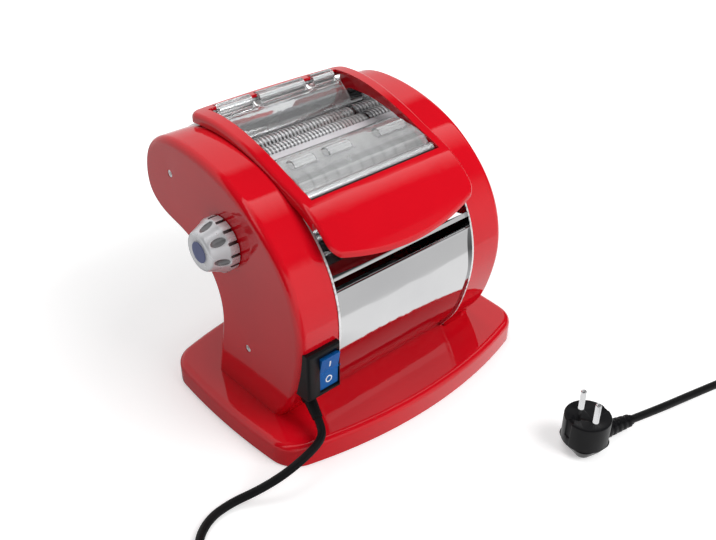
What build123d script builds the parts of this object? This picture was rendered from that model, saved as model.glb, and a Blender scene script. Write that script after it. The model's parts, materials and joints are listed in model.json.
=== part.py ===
from build123d import *
import os
from math import acos, atan2, cos, degrees, hypot, pi, radians, sin, sqrt, tan

# Electric pasta maker. Millimetres, X along the rollers, Y to the back, Z up, floor at Z = 0.
# Each (y, z) pair below is a place in the side view.

# --- base tray -----------------------------------------------------------
BASE_MID_Y = -10.75          # the head overhangs the back, so the tray sits forward of the middle
BASE_WIDTH = 282.0           # at the corners
BASE_DEPTH = 167.0
BASE_FRONT_BOW = 23.47        # how far front and back edges bow out
BASE_SIDE_BOW = 5.3
BASE_CORNER = 28.0
BASE_TOP = 22.0
BASE_EDGE = 6.0              # rounding of the upper edge
BASE_LIP = 1.0               # gap under the skirt, made by the feet
BASE_WALL = 3.0
FOOT_RADIUS = 9.0
FOOT_AT = (112.0, 70.0)      # from the middle of the tray
FOOT_PAD = 2.0

# --- body in the side view -----------------------------------------------
SIDE_OUTLINE = [(-50, 8), (-57.5, 22), (-72, 42), (-84, 72), (-90, 104), (-87, 138), (-74, 168),
                (-52, 193), (-22, 213.5), (14, 226.5), (54, 232), (85, 229), (105.3, 217.5),
                (116.1, 195), (113, 170), (98, 157), (70, 149), (44, 138), (25, 118),
                (18.5, 94), (24, 58), (32, 22), (35, 8)]
BAY_LEFT = -80.0             # inner faces of the two chrome side plates
BAY_RIGHT = 73.0
PLATE = 2.0
PLATE_PROUD = 0.8            # the plates' edges stand out of the covers
COVER_WIDE = 39.0
COVER_WALL = 2.5
COVER_ROUND = 7.0
FLARE = 6.5                  # the covers' feet spread onto the tray
FLARE_TALL = 9.0
FLARE_FRONT = -62.0
FLARE_BACK = 38.0

# --- top frame -----------------------------------------------------------
TOP_OUTLINE = [(-104, 157), (-95, 169.5), (-84.75, 182), (-69, 196.8), (-51.25, 208), (-32.5, 215.3),
               (-16, 221.8), (0, 227.8), (17, 233.2), (34, 237.6), (50, 240.2), (66, 241.2),
               (80, 240.6), (92, 239), (106, 236)]
FRAME_MID = -3.5
FRAME_FRONT_HALF = 80.0
FRAME_BACK_HALF = 84.5
FRAME_FRONT_Y = -86.0        # at the visor's corners
FRAME_FRONT_BOW = 9.5
FRAME_BACK_Y = 92.5
FRAME_BACK_BOW = 5.0
FRAME_CORNER = 12.0
FRAME_RIM = 8.0              # depth of the rim, where the plates leave room for it
FRAME_GAP = 0.3              # rim to the plates' edges
FRAME_SKIN = 2.5
FRAME_EDGE = 4.5             # rounding of the outer edge
VISOR_BACK = -64.0           # in front of this the frame is a bare sheet
FRAME_RIM_WIDE = 3.5
WINDOW_HALF = 70.0
WINDOW_FRONT = -51.0
WINDOW_BACK = 83.0
SKIRT = 2.0                  # walls that stand between the side plates
SKIRT_REACH = 6.0
STRIP_THICK = 1.0
STRIP_SHOWS = 3.9
SEAT_GAP = 0.1               # between sheets that lie on each other

# --- shafts, side view places --------------------------------------------
MODULE = 1.5
KNOB_AXIS = (1.9, 167.0)
ROLLER_TEETH = 18
ROLLER_FRONT = (3.0, 167.0)
ROLLER_R = 13.3
ROLLER_TRAVEL = 2.2
SHAFT_R = 5.0
CUT_TEETH = 13
CUT_Z = 196.0
FINE_FRONT_Y = 49.5
WIDE_BACK_Y = 8.0
CUT_SHAFT_R = 4.0
CUT_CORE_R = 8.6
CUT_RING_R = 10.4
FINE_MEAN_R = 9.5
WIDE_STRIP = 6.5
WIDE_RINGS = 12
ROLL_SIDE_GAP = 1.5          # rollers to side plates
IDLER_CUT_TEETH = 10
IDLER_FINE_TEETH = 18
IDLER_TEETH = 26
WHEEL_TEETH = 38
PINION_TEETH = 12
IDLER_DIR = 234.0            # degrees in the side view, from the back roller to the idler
WHEEL_DIR = 212.0
PINION_DIR = 226.0
TOOTH_TIP = 0.25             # tooth width at its tip and at its root, in pi modules
TOOTH_ROOT = 0.55
GEAR_A = (-90.0, -84.0)      # two layers of gears outside the left plate
GEAR_B = (-98.0, -92.0)
CAM_LAYER = (-109.0, -103.5)
BRIDGE = (-101.4, -99.4)
BRIDGE_OUTLINE = [(92, 206), (70, 208), (44, 186), (24, 182), (17, 160), (6, 151), (-12, 158),
                  (-26, 156), (-34, 146), (-38, 106), (-22, 104), (4, 128), (18, 129),
                  (50, 147.6), (62, 162), (94, 190)]
BRIDGE_PILLARS = [(86.0, 199.0), (50.0, 152.0), (-20.0, 150.0)]
PILLAR_R = 3.5
RUN_GAP = 0.05               # shaft in its hole
STUB_R = 3.0
SPINDLE_R = 3.0              # fixed pins that the idlers turn on

# --- motor ---------------------------------------------------------------
MOTOR_R = 26.0
MOTOR_LONG = 92.0
GEARBOX_LONG = 14.0
GEARBOX_R = 22.0

# --- small parts ---------------------------------------------------------
GUIDE_TOP = 205.0
GUIDE_FRONT = 23.5
GUIDE_BACK = 38.0
GUIDE_BEND = 9.0
GUIDE_THICK = 1.6
TIE_R = 4.0
TIE_END_R = 2.4              # threaded ends through the side plates
NUT_LONG = 3.0
TIES = [(94.0, 196.0), (-46.0, 42.0), (6.0, 52.0)]
SCREWS_LEFT = [(74.0, 200.0), (-19.5, 73.0)]
SCREWS_RIGHT = [(90.0, 207.0), (-19.5, 73.0)]
SCREW_R = 3.4
ROD_R = 1.8
BACK_HINGE = (84.0, 235.6)
FRONT_HINGE = (-42.5, 206.0)
GUARD_THICK = 2.0
GUARD_GAP = 1.2              # guard to the window's sides
BARREL_R = 5.8
BARREL_GAP = 0.6             # barrels to the notches that they turn in
BACK_BARRELS = [(-64, -30), (-22, 28), (38, 62)]
FRONT_BARRELS = [(-62, -40), (-26, -2), (30, 60)]
ARCH_R = 6.5
ARCH_AT = (-12.0, 217.0)
ROD_GAP = 0.1                # guards on their rods

# --- knob and switch -----------------------------------------------------
KNOB_FACE = -145.0
KNOB_R = 23.0
KNOB_TIP_R = 15.5
KNOB_SKIRT = 0.32            # share of the knob's depth that its notched skirt takes
SCOOPS = 7
SCOOP = (3.6, 4.0, 7.0)      # half sizes: out, around and along
SCOOP_DEEP = 2.3
NOTCHES = 14
SWITCH_X = (-118.0, -84.5)
SWITCH_Z = (60.5, 105.0)
SWITCH_FACE = -95.5
ROCKER_X = (-106.0, -87.0)
ROCKER_Z = (65.5, 98.0)
ROCKER_TILT = 7.0

# --- cord and plug -------------------------------------------------------
CORD_D = 7.0
FLOOR = CORD_D / 2
GLAND_AT = (-104.0, -76.5, 48.5)
GLAND_R = 6.5
GLAND_IN = 10.0              # collar inside and outside the cover's wall
GLAND_OUT = 4.0
GLAND_TAPER = (5.4, 4.3)
CORD_OUT = (-108.0, -93.0, 37.5)
EXIT_RUN = 10.0              # the cord goes on in the gland's own line
ROUTE_OUT = [(-118.5, -108.5, 30.0), (-137.0, -113.0, 28.5), (-158.0, -110.5, 20.5),
             (-177.5, -101.5, 10.0), (-196.0, -93.0, 4.0), (-218.0, -94.0, FLOOR),
             (-238.0, -107.5, FLOOR), (-248.0, -131.0, FLOOR), (-250.0, -163.0, FLOOR),
             (-243.0, -200.0, FLOOR), (-223.4, -242.0, FLOOR), (-200.9, -281.0, FLOOR)]
COIL_MID = (-168.0, -262.0)
COIL_R = 38.0
PLUG_MID = (61.0, -236.0)
PLUG_TURN = -16.0            # way that the cord leaves the plug, in degrees from +X
PLUG_R = 19.5
PLUG_TALL = 34.0
PLUG_FOOT = 10.0             # height of the tapered foot
PIN_R = 2.4
PIN_LONG = 19.0
PIN_GAP = 19.0
EARTH_HOLE = (-10.4, 2.6)    # place along the plug and radius
RELIEF_Z = 9.0
RELIEF_X = (16.0, 50.0)
RELIEF_R = (8.0, 5.2)
RELIEF_RIBS = 6
RIB_DEEP = 1.0
ROUTE_BACK = [(-174.6, -299.4, FLOOR), (-130.0, -308.0, FLOOR), (-80.0, -324.0, FLOOR),
              (-30.0, -348.0, FLOOR), (22.0, -370.0, FLOOR), (78.0, -378.0, FLOOR),
              (135.0, -371.0, FLOOR), (190.6, -363.5, FLOOR), (235.2, -355.8, FLOOR),
              (255.5, -334.0, FLOOR), (257.5, -303.9, FLOOR), (239.9, -279.4, FLOOR),
              (205.0, -270.3, FLOOR), (169.0, -262.5, 5.0)]
PLUG_RUN = 28.0              # straight before the plug


# --- helpers -------------------------------------------------------------
def shifted(points, out):
    """The same outline moved outward (to its left, seen along its own way)."""
    moved = []
    for i, (y, z) in enumerate(points):
        y0, z0 = points[max(i - 1, 0)]
        y1, z1 = points[min(i + 1, len(points) - 1)]
        long = hypot(y1 - y0, z1 - z0)
        moved.append((y - out * (z1 - z0) / long, z + out * (y1 - y0) / long))
    return moved


def in_side(sketch, x):
    """A sketch drawn as (y, z) put on the plane X = x."""
    return Plane.YZ.offset(x) * sketch


def across(sketch, x0, x1):
    return extrude(in_side(sketch, x0), amount=x1 - x0)


def side_face(out=0.0):
    points = shifted(SIDE_OUTLINE, out)
    return make_face([Spline(*points), Line(points[-1], points[0])])


def strip_face(points, outer, inner):
    """A strip between two curves that run beside the same points."""
    a, b = shifted(points, outer), shifted(points, inner)
    return make_face([Spline(*a), Line(a[-1], b[-1]), Spline(*b), Line(b[0], a[0])])


def rod(at, r, x0, x1):
    return Pos(x0, at[0], at[1]) * Rot(0, 90, 0) * Cylinder(
        r, x1 - x0, align=(Align.CENTER, Align.CENTER, Align.MIN))


def box(x0, x1, y0, y1, z0, z1):
    return Pos(x0, y0, z0) * Box(x1 - x0, y1 - y0, z1 - z0, align=(Align.MIN,) * 3)


def polar(at, reach, turn):
    return (at[0] + reach * cos(radians(turn)), at[1] + reach * sin(radians(turn)))


def pitch_r(teeth):
    return MODULE * teeth / 2


def save(solid, name):
    export_step(solid, f"parts/{name}.step")


# --- gear train ----------------------------------------------------------
ROLLER_BACK = (ROLLER_FRONT[0] + 2 * pitch_r(ROLLER_TEETH), ROLLER_FRONT[1])
FINE_FRONT = (FINE_FRONT_Y, CUT_Z)
FINE_BACK = (FINE_FRONT_Y + 2 * pitch_r(CUT_TEETH), CUT_Z)
WIDE_BACK = (WIDE_BACK_Y, CUT_Z)
WIDE_FRONT = (WIDE_BACK_Y - 2 * pitch_r(CUT_TEETH), CUT_Z)


def between(a, reach_a, b, reach_b, side):
    """The place at given distances from a and b, on one side of the line between them."""
    gap = hypot(b[0] - a[0], b[1] - a[1])
    along = (reach_a ** 2 - reach_b ** 2 + gap ** 2) / (2 * gap)
    off = side * sqrt(reach_a ** 2 - along ** 2)
    uy, uz = (b[0] - a[0]) / gap, (b[1] - a[1]) / gap
    return (a[0] + along * uy + off * uz, a[1] + along * uz - off * uy)


def mesh(teeth_a, teeth_b):
    return pitch_r(teeth_a) + pitch_r(teeth_b)


IDLER_CUT = between(ROLLER_BACK, mesh(ROLLER_TEETH, IDLER_CUT_TEETH),
                    WIDE_BACK, mesh(CUT_TEETH, IDLER_CUT_TEETH), 1)
IDLER_FINE = between(ROLLER_BACK, mesh(ROLLER_TEETH, IDLER_FINE_TEETH),
                     FINE_BACK, mesh(CUT_TEETH, IDLER_FINE_TEETH), 1)
IDLER = polar(ROLLER_BACK, mesh(ROLLER_TEETH, IDLER_TEETH), IDLER_DIR)
WHEEL = polar(IDLER, mesh(IDLER_TEETH, WHEEL_TEETH), WHEEL_DIR)
PINION = polar(WHEEL, mesh(WHEEL_TEETH, PINION_TEETH), PINION_DIR)


def phase_after(at, teeth, phase, mate_at, mate_teeth):
    """The mate's turn, in degrees, that puts its gap on this gear's tooth."""
    way = degrees(atan2(mate_at[1] - at[1], mate_at[0] - at[0]))
    part = (phase - way) * teeth / 360
    return way + 180 + 360 / mate_teeth * (0.5 - part)


def gear(at, teeth, phase, layer):
    """Straight teeth with plain flanks, thin enough to run without touching."""
    tip, root = pitch_r(teeth) + 0.8 * MODULE, pitch_r(teeth) - MODULE
    half_tip, half_root = TOOTH_TIP / 2 * pi * MODULE, TOOTH_ROOT / 2 * pi * MODULE
    points = []
    for i in range(teeth):
        mid = radians(phase + 360 * i / teeth)
        for reach, turn in ((root, -half_root / root), (tip, -half_tip / tip),
                            (tip, half_tip / tip), (root, half_root / root)):
            points.append((at[0] + reach * cos(mid + turn), at[1] + reach * sin(mid + turn)))
    return across(make_face(Polyline(*points, close=True)), *layer)


PHASE_BACK = 0.0
PHASE_FRONT = phase_after(ROLLER_BACK, ROLLER_TEETH, PHASE_BACK, ROLLER_FRONT, ROLLER_TEETH)
PHASE_IDLER_CUT = phase_after(ROLLER_BACK, ROLLER_TEETH, PHASE_BACK, IDLER_CUT, IDLER_CUT_TEETH)
PHASE_WIDE_BACK = phase_after(IDLER_CUT, IDLER_CUT_TEETH, PHASE_IDLER_CUT, WIDE_BACK, CUT_TEETH)
PHASE_WIDE_FRONT = phase_after(WIDE_BACK, CUT_TEETH, PHASE_WIDE_BACK, WIDE_FRONT, CUT_TEETH)
PHASE_IDLER_FINE = phase_after(ROLLER_BACK, ROLLER_TEETH, PHASE_BACK, IDLER_FINE, IDLER_FINE_TEETH)
PHASE_FINE_BACK = phase_after(IDLER_FINE, IDLER_FINE_TEETH, PHASE_IDLER_FINE, FINE_BACK, CUT_TEETH)
PHASE_FINE_FRONT = phase_after(FINE_BACK, CUT_TEETH, PHASE_FINE_BACK, FINE_FRONT, CUT_TEETH)
PHASE_IDLER = phase_after(ROLLER_BACK, ROLLER_TEETH, PHASE_BACK, IDLER, IDLER_TEETH)
PHASE_WHEEL = phase_after(IDLER, IDLER_TEETH, PHASE_IDLER, WHEEL, WHEEL_TEETH)
PHASE_PINION = phase_after(WHEEL, WHEEL_TEETH, PHASE_WHEEL, PINION, PINION_TEETH)


# --- base ----------------------------------------------------------------
def tray_outline(inset=0.0):
    half_x, half_y = BASE_WIDTH / 2 - inset, BASE_DEPTH / 2 - inset
    corners = [(-half_x, -half_y), (half_x, -half_y), (half_x, half_y), (-half_x, half_y)]
    bows = [(0, -half_y - BASE_FRONT_BOW), (half_x + BASE_SIDE_BOW, 0),
            (0, half_y + BASE_FRONT_BOW), (-half_x - BASE_SIDE_BOW, 0)]
    arcs = [ThreePointArc(corners[i], bows[i], corners[(i + 1) % 4]) for i in range(4)]
    outline = make_face(arcs)
    return Pos(0, BASE_MID_Y) * fillet(outline.vertices(), BASE_CORNER - inset)


def base_tray():
    body = extrude(Pos(0, 0, BASE_LIP) * tray_outline(), amount=BASE_TOP - BASE_LIP)
    body = fillet(body.faces().sort_by(Axis.Z)[-1].edges(), BASE_EDGE)
    body -= extrude(tray_outline(BASE_WALL), amount=BASE_TOP - BASE_WALL)
    for spot in foot_places():
        body += Pos(*spot, FOOT_PAD) * Cylinder(
            FOOT_RADIUS + 2, BASE_TOP - BASE_WALL - FOOT_PAD,
            align=(Align.CENTER, Align.CENTER, Align.MIN))
    return body


def foot_places():
    x, y = FOOT_AT
    return [(sx * x, BASE_MID_Y + sy * y) for sy in (-1, 1) for sx in (-1, 1)]


def rubber_foot(spot):
    return Pos(*spot) * Cylinder(FOOT_RADIUS, FOOT_PAD, align=(Align.CENTER, Align.CENTER, Align.MIN))


# --- side plates ---------------------------------------------------------
def side_plate(x0, left):
    plate = across(side_face(PLATE_PROUD), x0, x0 + PLATE)
    plate &= box(x0 - 1, x0 + PLATE + 1, -200, 200, BASE_TOP, 300)
    holes = [(ROLLER_BACK, SHAFT_R), (FINE_FRONT, CUT_SHAFT_R), (FINE_BACK, CUT_SHAFT_R),
             (WIDE_BACK, CUT_SHAFT_R), (WIDE_FRONT, CUT_SHAFT_R)]
    holes += [(at, TIE_END_R - RUN_GAP) for at in TIES]
    if left:
        holes.append((PINION, SHAFT_R))
    for at, r in holes:
        plate -= rod(at, r + RUN_GAP, x0 - 1, x0 + PLATE + 1)
    y, z = ROLLER_FRONT
    reach = CARRIER_HALF + RUN_GAP
    plate -= box(x0 - 1, x0 + PLATE + 1, y - reach - ROLLER_TRAVEL, y + reach,
                 z - CARRIER_HALF - RUN_GAP, z + CARRIER_HALF + RUN_GAP)
    return plate


# --- covers --------------------------------------------------------------
def cover_shell(inner_x, outer_x):
    way = 1 if outer_x > inner_x else -1
    x0, x1 = sorted((inner_x, outer_x))
    shell = across(side_face(), x0, x1)
    end = shell.faces().sort_by(Axis.X)[-1 if way > 0 else 0]
    edges = end.edges().filter_by(lambda e: e.center().Z > 10)
    shell = fillet(edges, COVER_ROUND)
    flare = make_face(Polyline((inner_x, FLARE_FRONT), (outer_x + way * FLARE, FLARE_FRONT),
                               (outer_x + way * FLARE, FLARE_BACK), (inner_x, FLARE_BACK), close=True))
    outer = flare.vertices().sort_by(Axis.X)[-2:] if way > 0 else flare.vertices().sort_by(Axis.X)[:2]
    flare = fillet(outer, 22)
    flare = Pos(0, 0, BASE_TOP) * extrude(flare, amount=FLARE_TALL, taper=35)
    keep = box(x0 - (20 if way < 0 else 0), x1 + (20 if way > 0 else 0), -200, 200, BASE_TOP, 300)
    shell = (shell + flare) & keep
    deep = outer_x - way * COVER_WALL
    shell -= across(side_face(-COVER_WALL), *sorted((inner_x, deep)))
    return shell


def cover_with_posts(inner_x, outer_x, screws):
    way = 1 if outer_x > inner_x else -1
    cover = cover_shell(inner_x, outer_x)
    for at, stop in screws:
        cover += rod(at, SCREW_R + 1.6, *sorted((stop, outer_x - way * 1)))
        cover -= rod(at, SCREW_R, *sorted((outer_x - way * SCREW_SUNK, outer_x + way)))
        cover -= rod(at, SCREW_SHANK_R, *sorted((inner_x - way, outer_x)))
    return cover


def cover_left():
    outer_x = BAY_LEFT - PLATE - COVER_WIDE
    inner_x = BAY_LEFT - PLATE
    cover = cover_with_posts(inner_x, outer_x, zip(SCREWS_LEFT, (BRIDGE[0], inner_x)))
    cover -= rod(KNOB_AXIS, KNOB_SHAFT_R + RUN_GAP, outer_x - 1, outer_x + 5)
    cover -= box(SWITCH_X[0], SWITCH_X[1], SWITCH_FACE - 5, SWITCH_BACK, *SWITCH_Z)
    cover -= gland_hole()
    return cover


def cover_right():
    inner_x = BAY_RIGHT + PLATE
    return cover_with_posts(inner_x, inner_x + COVER_WIDE, zip(SCREWS_RIGHT, (inner_x, inner_x)))


SCREW_SUNK = 3.0
SCREW_SHANK_R = 1.8
SCREW_LONG = 22.0


def cover_screw(at, outer_x, way):
    head = rod(at, SCREW_R - 0.1, *sorted((outer_x - way * SCREW_SUNK, outer_x - way * 0.6)))
    shank = rod(at, SCREW_SHANK_R - RUN_GAP, *sorted((outer_x - way * SCREW_LONG, outer_x - way * SCREW_SUNK)))
    cut = [box(*sorted((outer_x - way * 1.8, outer_x)), at[0] - a, at[0] + a, at[1] - b, at[1] + b)
           for a, b in ((2.2, 0.4), (0.4, 2.2))]
    return head + shank - cut[0] - cut[1]


# --- top frame -----------------------------------------------------------
def frame_plan(inset=0.0):
    front, back = FRAME_FRONT_HALF - inset, FRAME_BACK_HALF - inset
    y0, y1 = FRAME_FRONT_Y + inset, FRAME_BACK_Y - inset
    lines = [ThreePointArc((-front, y0), (0, y0 - FRAME_FRONT_BOW), (front, y0)),
             Line((front, y0), (back, y1)),
             ThreePointArc((back, y1), (0, y1 + FRAME_BACK_BOW), (-back, y1)),
             Line((-back, y1), (-front, y0))]
    plan = make_face(lines)
    return Pos(FRAME_MID, 0) * fillet(plan.vertices(), FRAME_CORNER - inset)


def top_band(upper, lower):
    wide = FRAME_BACK_HALF + 10
    return across(strip_face(TOP_OUTLINE, upper, lower), FRAME_MID - wide, FRAME_MID + wide)


def skirt_wall(x0, x1):
    """A wall between the plates that carries the frame at one side of the window."""
    top = [p for p in TOP_OUTLINE if -70 < p[0] < 85]
    low = [p for p in reversed(shifted(SIDE_OUTLINE, -SKIRT_REACH)) if -62 < p[0] < 90 and p[1] > 180]
    wall = make_face([Spline(*shifted(top, -1)), Line(shifted(top, -1)[-1], low[0]),
                      Spline(*low), Line(low[-1], shifted(top, -1)[0])])
    return across(wall, x0, x1)


def top_frame():
    frame = top_band(0, -FRAME_RIM) & extrude(frame_plan(), amount=400)
    crown = frame.faces().filter_by(lambda f: f.normal_at().Z > 0.3).sort_by(SortBy.AREA)[-1]
    frame = fillet(crown.edges(), FRAME_EDGE)
    hollow = top_band(-FRAME_SKIN, -FRAME_RIM - 2) & extrude(frame_plan(FRAME_RIM_WIDE), amount=400)
    wide = FRAME_BACK_HALF + 20
    visor = box(FRAME_MID - wide, FRAME_MID + wide, FRAME_FRONT_Y - 30, VISOR_BACK, 100, 300)
    frame -= hollow + (top_band(-FRAME_SKIN, -FRAME_RIM - 9) & visor)
    frame -= across(side_face(PLATE_PROUD + FRAME_GAP), FRAME_MID - 200, FRAME_MID + 200)
    frame += skirt_wall(BAY_LEFT, BAY_LEFT + SKIRT)
    frame += skirt_wall(BAY_RIGHT - SKIRT, BAY_RIGHT)
    frame -= box(FRAME_MID - WINDOW_HALF, FRAME_MID + WINDOW_HALF, WINDOW_FRONT, WINDOW_BACK, 150, 260)
    for at in (BACK_HINGE, FRONT_HINGE):
        frame -= rod(at, ROD_R, BAY_LEFT, BAY_RIGHT)
    for x0, x1 in BACK_BARRELS:
        frame -= rod(BACK_HINGE, BARREL_R + BARREL_GAP, x0 - BARREL_GAP, x1 + BARREL_GAP)
    for at in (ROLLER_BACK, FINE_FRONT, FINE_BACK, WIDE_BACK, WIDE_FRONT):
        frame -= rod(at, CUT_RING_R + 1, BAY_LEFT - 1, BAY_RIGHT + 1)
    return frame


def front_strip():
    """Bright strip under the frame's front edge, showing inside the window."""
    deep = FRAME_SKIN + SEAT_GAP
    strip = across(strip_face(TOP_OUTLINE, -deep, -deep - STRIP_THICK), BAY_LEFT + SKIRT, BAY_RIGHT - SKIRT)
    return strip & box(BAY_LEFT, BAY_RIGHT, WINDOW_FRONT - 9, WINDOW_FRONT + STRIP_SHOWS, 150, 260)


# --- panels --------------------------------------------------------------
PANEL_IN = 1.0
PANEL_THICK = 1.2
FRONT_PANEL = SIDE_OUTLINE[:5] + [(-88.3, 126), (-86.4, 141)]
PANEL_ROLL = (-83.4, 141.0)  # rolled upper edge
ROLL_R = 2.0
BACK_PANEL = SIDE_OUTLINE[18:]
HEAD_PANEL = [(96, 224)] + SIDE_OUTLINE[12:15]


def front_panel():
    panel = across(strip_face(FRONT_PANEL, -PANEL_IN, -PANEL_IN - PANEL_THICK), BAY_LEFT, BAY_RIGHT)
    panel &= box(BAY_LEFT, BAY_RIGHT, -200, 200, BASE_TOP, 300)
    return panel + rod(PANEL_ROLL, ROLL_R, BAY_LEFT, BAY_RIGHT)


def head_panel():
    """Bright panel that closes the head's back, above the way out of the cut pasta."""
    deep = PANEL_IN + PANEL_THICK
    return across(strip_face(HEAD_PANEL, -PANEL_IN, -deep), BAY_LEFT, BAY_RIGHT)


def back_panel():
    panel = across(strip_face(BACK_PANEL, -PANEL_IN, -PANEL_IN - PANEL_THICK), BAY_LEFT, BAY_RIGHT)
    return panel & box(BAY_LEFT, BAY_RIGHT, -200, 200, BASE_TOP, 300)


# --- parts of the bay ----------------------------------------------------
def guide_bar():
    y, foot, bend = GUIDE_FRONT, 187.0, GUIDE_TOP - GUIDE_BEND
    inner = GUIDE_BEND - GUIDE_THICK
    bar = make_face([Line((y, foot), (y, bend)),
                     ThreePointArc((y, bend), polar((y + GUIDE_BEND, bend), GUIDE_BEND, 135),
                                   (y + GUIDE_BEND, GUIDE_TOP)),
                     Line((y + GUIDE_BEND, GUIDE_TOP), (GUIDE_BACK, GUIDE_TOP)),
                     Line((GUIDE_BACK, GUIDE_TOP), (GUIDE_BACK, GUIDE_TOP - GUIDE_THICK)),
                     Line((GUIDE_BACK, GUIDE_TOP - GUIDE_THICK), (y + GUIDE_BEND, GUIDE_TOP - GUIDE_THICK)),
                     ThreePointArc((y + GUIDE_BEND, GUIDE_TOP - GUIDE_THICK),
                                   polar((y + GUIDE_BEND, bend), inner, 135), (y + GUIDE_THICK, bend)),
                     Line((y + GUIDE_THICK, bend), (y + GUIDE_THICK, foot)),
                     Line((y + GUIDE_THICK, foot), (y, foot))])
    return across(bar, BAY_LEFT, BAY_RIGHT)


def trace_sheet(points, thick):
    under = [(y, z - thick) for y, z in reversed(points)]
    return make_face(Polyline(*points, *under, close=True))


def front_deflector():
    """Leads the wide strips out under the visor, over a lip that turns down in front."""
    slide = trace_sheet([(15.5, 183.4), (-16, 182.6), (-56, 163), (-76, 156.4)], 1.0)
    lip = make_face(Polyline((-76, 156.4), (-79.6, 154.6), (-81.4, 151), (-80.4, 151), (-78.8, 153.9),
                             (-76, 155.4), close=True))
    return across(slide, BAY_LEFT, BAY_RIGHT) + across(lip, BAY_LEFT, BAY_RIGHT)


def back_deflector():
    return across(trace_sheet([(44, 182.8), (78, 181), (98, 172)], 1.0), BAY_LEFT, BAY_RIGHT)


def sheet_chute():
    return across(trace_sheet([(-66, 148), (-30, 140), (16, 118)], 1.2), BAY_LEFT, BAY_RIGHT)


def scraper(front, back):
    """Blade under the gap of a roller pair, from plate to plate."""
    mid = (front[0] + back[0]) / 2
    low, high = front[1] - SCRAPER_DROP[0], front[1] - SCRAPER_DROP[1]
    lines = Polyline((mid - 3.5, low), (mid + 3.5, low), (mid + 0.9, high), (mid - 0.9, high), close=True)
    return across(make_face(lines), BAY_LEFT, BAY_RIGHT)


def tie_rod(at):
    outer_left, outer_right = BAY_LEFT - PLATE, BAY_RIGHT + PLATE
    solid = rod(at, TIE_R, BAY_LEFT, BAY_RIGHT)
    solid += rod(at, TIE_END_R, outer_left - NUT_LONG, outer_right + NUT_LONG)
    solid += rod(at, TIE_R, outer_left - NUT_LONG, outer_left)
    return solid + rod(at, TIE_R, outer_right, outer_right + NUT_LONG)


# --- rollers and cutters -------------------------------------------------
SCRAPER_DROP = (12.0, 6.0)   # foot and edge of a scraper below the cutter shafts
ROLL_X = (BAY_LEFT + ROLL_SIDE_GAP, BAY_RIGHT - ROLL_SIDE_GAP)
CARRIER_HALF = 7.0
SHAFT_END = BAY_RIGHT + PLATE + 6


def roller_back():
    roller = rod(ROLLER_BACK, ROLLER_R, *ROLL_X) + rod(ROLLER_BACK, SHAFT_R, BRIDGE[0], SHAFT_END)
    roller += gear(ROLLER_BACK, ROLLER_TEETH, PHASE_BACK, GEAR_A)
    return roller + gear(ROLLER_BACK, ROLLER_TEETH, PHASE_BACK, GEAR_B)


def roller_front():
    roller = rod(ROLLER_FRONT, ROLLER_R, *ROLL_X) + rod(ROLLER_FRONT, SHAFT_R, GEAR_A[0], SHAFT_END)
    roller += gear(ROLLER_FRONT, ROLLER_TEETH, PHASE_FRONT, GEAR_A)
    return roller + rod(ROLLER_FRONT, STUB_R, CAM_LAYER[0] + 1.5, GEAR_A[0])


def carrier(x0, x1):
    """Block that holds the front roller's shaft and slides in the plate's window."""
    y, z = ROLLER_FRONT
    block = box(x0, x1, y - CARRIER_HALF, y + CARRIER_HALF, z - CARRIER_HALF, z + CARRIER_HALF)
    return block - rod(ROLLER_FRONT, SHAFT_R + RUN_GAP, x0 - 1, x1 + 1)


def cutter(at, phase, layers, start_x, ring_start=None):
    solid = rod(at, CUT_SHAFT_R, start_x, SHAFT_END)
    for layer in layers:
        solid += gear(at, CUT_TEETH, phase, layer)
    if ring_start is None:
        return solid + rod(at, FINE_MEAN_R, *ROLL_X)
    solid += rod(at, CUT_CORE_R, *ROLL_X)
    for i in range(WIDE_RINGS):
        x0 = ring_start + 2 * WIDE_STRIP * i
        x1 = min(x0 + WIDE_STRIP - 2 * RING_GAP, ROLL_X[1])
        if x1 > x0:
            solid += rod(at, CUT_RING_R, x0, x1)
    return solid


RING_GAP = 0.08


def loose_gear(at, teeth, phase, layer):
    hole = rod(at, SPINDLE_R + RUN_GAP, layer[0] - 1, layer[1] + 1)
    return gear(at, teeth, phase, layer) - hole


def spindle(at, layer, end_x):
    """Fixed pin of an idler, with a collar at its plate end."""
    pin = rod(at, SPINDLE_R, end_x, BAY_LEFT - PLATE)
    return pin + rod(at, SPINDLE_R + 1.5, layer[1] + 0.3, BAY_LEFT - PLATE)


def gear_bridge():
    """Plate outside the gears that holds the outer ends of shafts and pins."""
    plate = across(make_face(Polyline(*BRIDGE_OUTLINE, close=True)), *BRIDGE)
    for at in BRIDGE_PILLARS:
        plate += rod(at, PILLAR_R, BRIDGE[1], BAY_LEFT - PLATE)
    for at, r in ((ROLLER_BACK, SHAFT_R), (FINE_BACK, CUT_SHAFT_R), (IDLER_FINE, SPINDLE_R),
                  (IDLER, SPINDLE_R), (WHEEL, SPINDLE_R), (SCREWS_LEFT[0], SCREW_SHANK_R - RUN_GAP)):
        plate -= rod(at, r + RUN_GAP, BRIDGE[0] - 1, BRIDGE[1] + 1)
    return plate


# --- motor ---------------------------------------------------------------
def motor():
    x0 = BAY_LEFT + GEARBOX_LONG
    can = rod(PINION, MOTOR_R, x0, x0 + MOTOR_LONG)
    can = fillet(can.edges().filter_by(GeomType.CIRCLE), 3)
    return can + rod(PINION, 8, x0 + MOTOR_LONG, x0 + MOTOR_LONG + 4)


def gearbox():
    box_solid = rod(PINION, GEARBOX_R, BAY_LEFT, BAY_LEFT + GEARBOX_LONG)
    return box_solid - rod(PINION, SHAFT_R + RUN_GAP, BAY_LEFT - 1, BAY_LEFT + GEARBOX_LONG - 2)


def motor_pinion():
    shaft = rod(PINION, SHAFT_R, GEAR_B[1], BAY_LEFT + GEARBOX_LONG - 2.5)
    return shaft + gear(PINION, PINION_TEETH, PHASE_PINION, GEAR_B)


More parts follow.
